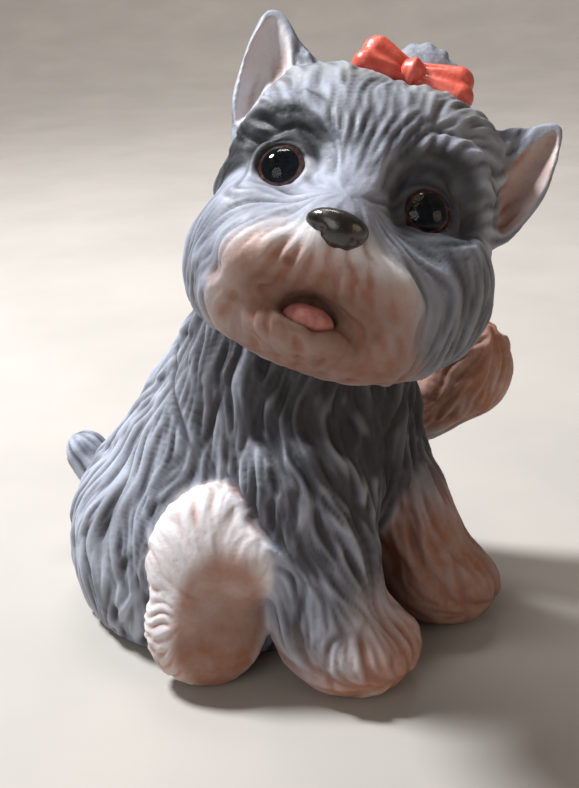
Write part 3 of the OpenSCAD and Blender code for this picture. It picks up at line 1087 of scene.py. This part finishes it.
def tongue_paint():
    p = Paint("tongue_paint", specular=0.45)
    c = p.mix(p.noise(2.0), linear(0.72, 0.48, 0.44), linear(0.61, 0.37, 0.34))
    p.bump(p.noise(0.35, 2.0), 0.04, 0.5)
    return p.finish(c, 1.2, 0.38, 0.52)


def hair_grey():
    p = Paint("topknot_bisque", specular=0.32)
    c = p.mix(p.noise(2.0, stretch=(1, 1, 0.4)), linear(0.6, 0.62, 0.665), linear(0.47, 0.485, 0.52))
    p.bump(p.noise(0.5), 0.06, 0.6)
    return p.finish(c, 1.5, 0.5, 0.64)


def eye_glass():
    p = Paint("eye_glass", roughness=0.05, specular=0.5, ior=1.33, transmission=1.0)
    c = p.mix(p.noise(3.0, 2.0), linear(1.0, 1.0, 1.0), linear(0.96, 0.94, 0.93))
    return p.finish(c)


def iris_paint():
    p = Paint("iris_paint", specular=0.5)
    c = p.mix(p.noise(0.7, 4.0), linear(0.44, 0.23, 0.18), linear(0.26, 0.12, 0.1))
    return p.finish(c, 0.5, 0.55, 0.7)


def pupil_paint():
    p = Paint("pupil_paint", specular=0.0)
    # a blue-grey black: the pupil's dark paint together with a painted reflection of the haze on the glass
    c = p.mix(p.noise(1.0), linear(0.1, 0.13, 0.16), linear(0.06, 0.075, 0.09))
    return p.finish(c, 0.6, 0.6, 0.75)


# ---- camera, light, floor
def stage():
    scene = bpy.context.scene
    scene.view_settings.view_transform = "Standard"
    middle = (np.array(cad_box[0]) + np.array(cad_box[1])) / 2
    ahead = np.array([0.6785, 0.6348, -0.3697])
    right, up = np.array([0.6832, -0.7302, 0.0]), np.array([0.27, 0.2526, 0.9291])
    roll = math.radians(2.8)
    x = math.cos(roll) * right - math.sin(roll) * up
    y = math.sin(roll) * right + math.cos(roll) * up
    cam = bpy.data.objects.new("camera", bpy.data.cameras.new("camera"))
    m = np.eye(4)
    m[:3, 0], m[:3, 1], m[:3, 2], m[:3, 3] = x, y, -ahead, middle + (-0.1454, -0.1419, 0.0652)
    cam.matrix_world = Matrix(m.tolist())
    cam.data.lens, cam.data.sensor_width, cam.data.sensor_fit = 49.34, 36.0, "AUTO"
    cam.data.clip_start = 0.01
    scene.collection.objects.link(cam)
    scene.camera = cam

    world = bpy.data.worlds.new("studio")
    world.use_nodes = True
    world.node_tree.nodes["Background"].inputs["Color"].default_value = linear(0.86, 0.83, 0.8)
    world.node_tree.nodes["Background"].inputs["Strength"].default_value = 0.2
    scene.world = world

    centre = middle + (-0.001, -0.0059, 0.0012)
    flat_ahead = unit([ahead[0], ahead[1], 0])

    def lamp(name, side, back, height, size, power, colour, look=centre):
        at = centre + right * side + flat_ahead * back + np.array([0, 0, height])
        light = bpy.data.lights.new(name, "AREA")
        light.shape, light.size, light.energy, light.color = "DISK", size, power, colour
        ob = bpy.data.objects.new(name, light)
        turn = Vector(look - at).to_track_quat("-Z", "Y").to_matrix().to_4x4()
        ob.matrix_world = Matrix.Translation(Vector(at)) @ turn
        scene.collection.objects.link(ob)

    lamp("key", -0.3, 0.15, 0.5, 0.13, 7.6, (0.93, 0.965, 1.0))
    lamp("fill", -0.3, -0.5, 0.26, 0.4, 0.82, (1.0, 0.97, 0.95))
    lamp("warm", 0.4, -0.25, 0.12, 0.3, 0.3, (1.0, 0.8, 0.62))
    lamp("backdrop", 0.0, 0.5, 0.9, 0.5, 8.0, (1.0, 0.97, 0.94), centre + flat_ahead * 1.25)

    p = Paint("studio_floor", roughness=0.8, specular=0.2)
    c = p.mix(p.noise(60.0), linear(0.7, 0.675, 0.65), linear(0.67, 0.65, 0.625))
    p.bump(p.noise(3.0), 0.03, 0.2)
    # a disc of rings that curves up at its edge, its middle point last
    radii = (300, 800, 1000, 1150, 1270, 1360, 1430, 1470, 1490, 1500)
    heights = (0, 0, 15, 50, 105, 180, 280, 400, 520, 700)
    turns = 64
    around = np.arange(turns)
    ang = around * 2 * math.pi / turns
    verts = np.concatenate([np.stack([r * np.cos(ang), r * np.sin(ang), np.full(turns, h)], 1)
                            for r, h in zip(radii, heights)] + [np.zeros((1, 3))])
    here, after = around, (around + 1) % turns
    bands = [np.stack([a + turns + here, a + turns + after, a + after, a + here], 1)
             for a in range(0, (len(radii) - 1) * turns, turns)]
    middle_fan = np.stack([np.full(turns, len(verts) - 1), here, after], 1)
    floor = new_mesh("floor", verts, [np.concatenate(bands), middle_fan])
    floor.data.materials.append(p.finish(c))


stage()

# ---- the puppy
# painted highlight: raised hair painted lighter than the hollows beside it, with the painted light on the
# rear added
painted_highlight = np.clip((relief - low) / 0.3 + 0.95 * painted_rear_light, 0, 1)
MASKS = {"paint_a": np.stack([white, peach, dark_eye, dust], 1),
         "paint_b": np.stack([cavity, deep * (1 - 0.35 * painted_rear_light), shade, painted_highlight], 1)}
shares = np.stack([on[name] for name in NAMES], 1)
face_label = np.argmax(shares[Q].mean(1), 1)
skin = bisque()
for i, name in enumerate(NAMES):
    verts, faces, normals, masks = cut_piece(i)
    piece = new_mesh(name + "_bisque", verts, faces, normals, masks)
    finish_piece(piece, skin, "bisque", NODE_OF[name])

KNOT = mid("bow_knot")
bow_at = partial(placed, KNOT, HEAD)


def loop_shapes(side, swell, folds, ends):
    """The two lobes of one bow loop, and three folds to cut into it, all running out from the knot."""
    starts = (1.0, -0.3, 0.6), (1.0, -0.3, -0.6), (1.5, 1.7, 0.0), (1.7, 1.5, folds[0]), (1.8, 1.5, folds[1])
    fronts = -0.6, 0.0, 2.9, 2.5, 2.5
    radii = (1.7, 2.9), (1.6, swell), (0.75, 0.45), (0.45, 0.3), (0.45, 0.3)
    shapes = [(limb(bow_at(side * a, b, c), bow_at(side * along, front, up), *r), blend)
              for (a, b, c), (along, up), front, r, blend
              in zip(starts, ends, fronts, radii, (0.0, 0.7, 0.4, 0.3, 0.3))]
    return shapes[:2], shapes[2:]


red = red_glaze()
LOOPS = {"bow_right_loop": (-1, 2.5, (1.3, -1.0),
                            ((7.0, 2.3), (8.2, -0.9), (6.6, 0.9), (5.4, 3.4), (7.0, -1.5))),
         "bow_left_loop": (1, 2.6, (1.2, -1.2),
                           ((8.0, 1.1), (9.0, -2.0), (7.6, -0.5), (6.8, 2.0), (7.6, -2.7)))}
for node, settings in LOOPS.items():
    small_piece(node, "_satin", "red_glaze", red, 0.22, *loop_shapes(*settings),
                grain=lambda v: 0.05 * noise(v, 1.6, 3))
small_piece("bow_knot", "_satin", "red_glaze", red, 0.2, [(egg(KNOT, (2.2, 2.8, 2.6), HEAD), 0)],
            grain=lambda v: 0.12 * np.cos(((v - KNOT) @ HEAD[0]) * 3.2) + 0.04 * noise(v, 1.2))
BAND = mid("ribbon_band")
band_ring = ring(BAND, unit(HEAD[2] - 0.5 * HEAD[1]), 3.6, 1.1)
small_piece("ribbon_band", "_satin", "red_glaze", red, 0.2, [(band_ring, 0)],
            grain=lambda v: 0.05 * noise(v, 1.6, 7))
tuft = [(egg(BAND + 4.0 * HEAD[2] - 0.6 * HEAD[1], (5.2, 2.4, 5.0), HEAD), 0.0)]
for a, h in ((-5.2, 6.0), (-2.9, 8.2), (-0.2, 9.2), (2.6, 8.8), (5.2, 7.0)):
    root = BAND + a * 0.35 * HEAD[0] - 0.5 * HEAD[2]
    tip = BAND + a * HEAD[0] + h * HEAD[2] - (0.8 + 0.1 * abs(a)) * HEAD[1]
    tuft.append((limb(root, tip, 2.3, 1.2), 1.5))
small_piece("topknot", "_hair", "bisque", hair_grey(), 0.24, tuft,
            grain=lambda v: 0.05 * noise(v @ np.diag([1, 1, 0.3]), 0.9, 3.0))
small_piece("nose", "_leather", "nose_glaze", nose_glaze(), 0.2,
            [(hegg(0.5, 13.0, -12.7, 4.7, 3.3, 2.3), 0), (hegg(1.1, 12.7, -13.9, 3.0, 3.0, 2.2), 1.6)],
            [(hegg(-1.7, 15.6, -14.9, 0.9, 1.5, 0.6), 0.5), (hegg(3.8, 15.3, -15.1, 0.9, 1.5, 0.6), 0.5)])
small_piece("tongue", "_pink", "tongue_paint", tongue_paint(), 0.2,
            [(hegg(0.5, 5.6, -25.4, 4.1, 4.6, 2.4), 0)],
            [(limb(hp(0.5, 4, -22.5), hp(0.5, 11, -23.2), 0.5, 0.4), 0.9)],
            grain=lambda v: 0.04 * noise(v, 0.8))

eye_mats = {"eye_lens": eye_glass(), "iris": iris_paint(), "pupil": pupil_paint()}
for side in ("right_", "left_"):
    for part, mat in eye_mats.items():
        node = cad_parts[side + part]
        objs = node if isinstance(node, (list, tuple)) else [node]
        for ob in objs:
            if ob.material_slots:
                for sl in ob.material_slots:
                    sl.link = "OBJECT"
                    sl.material = mat
            else:
                ob.data.materials.append(mat)
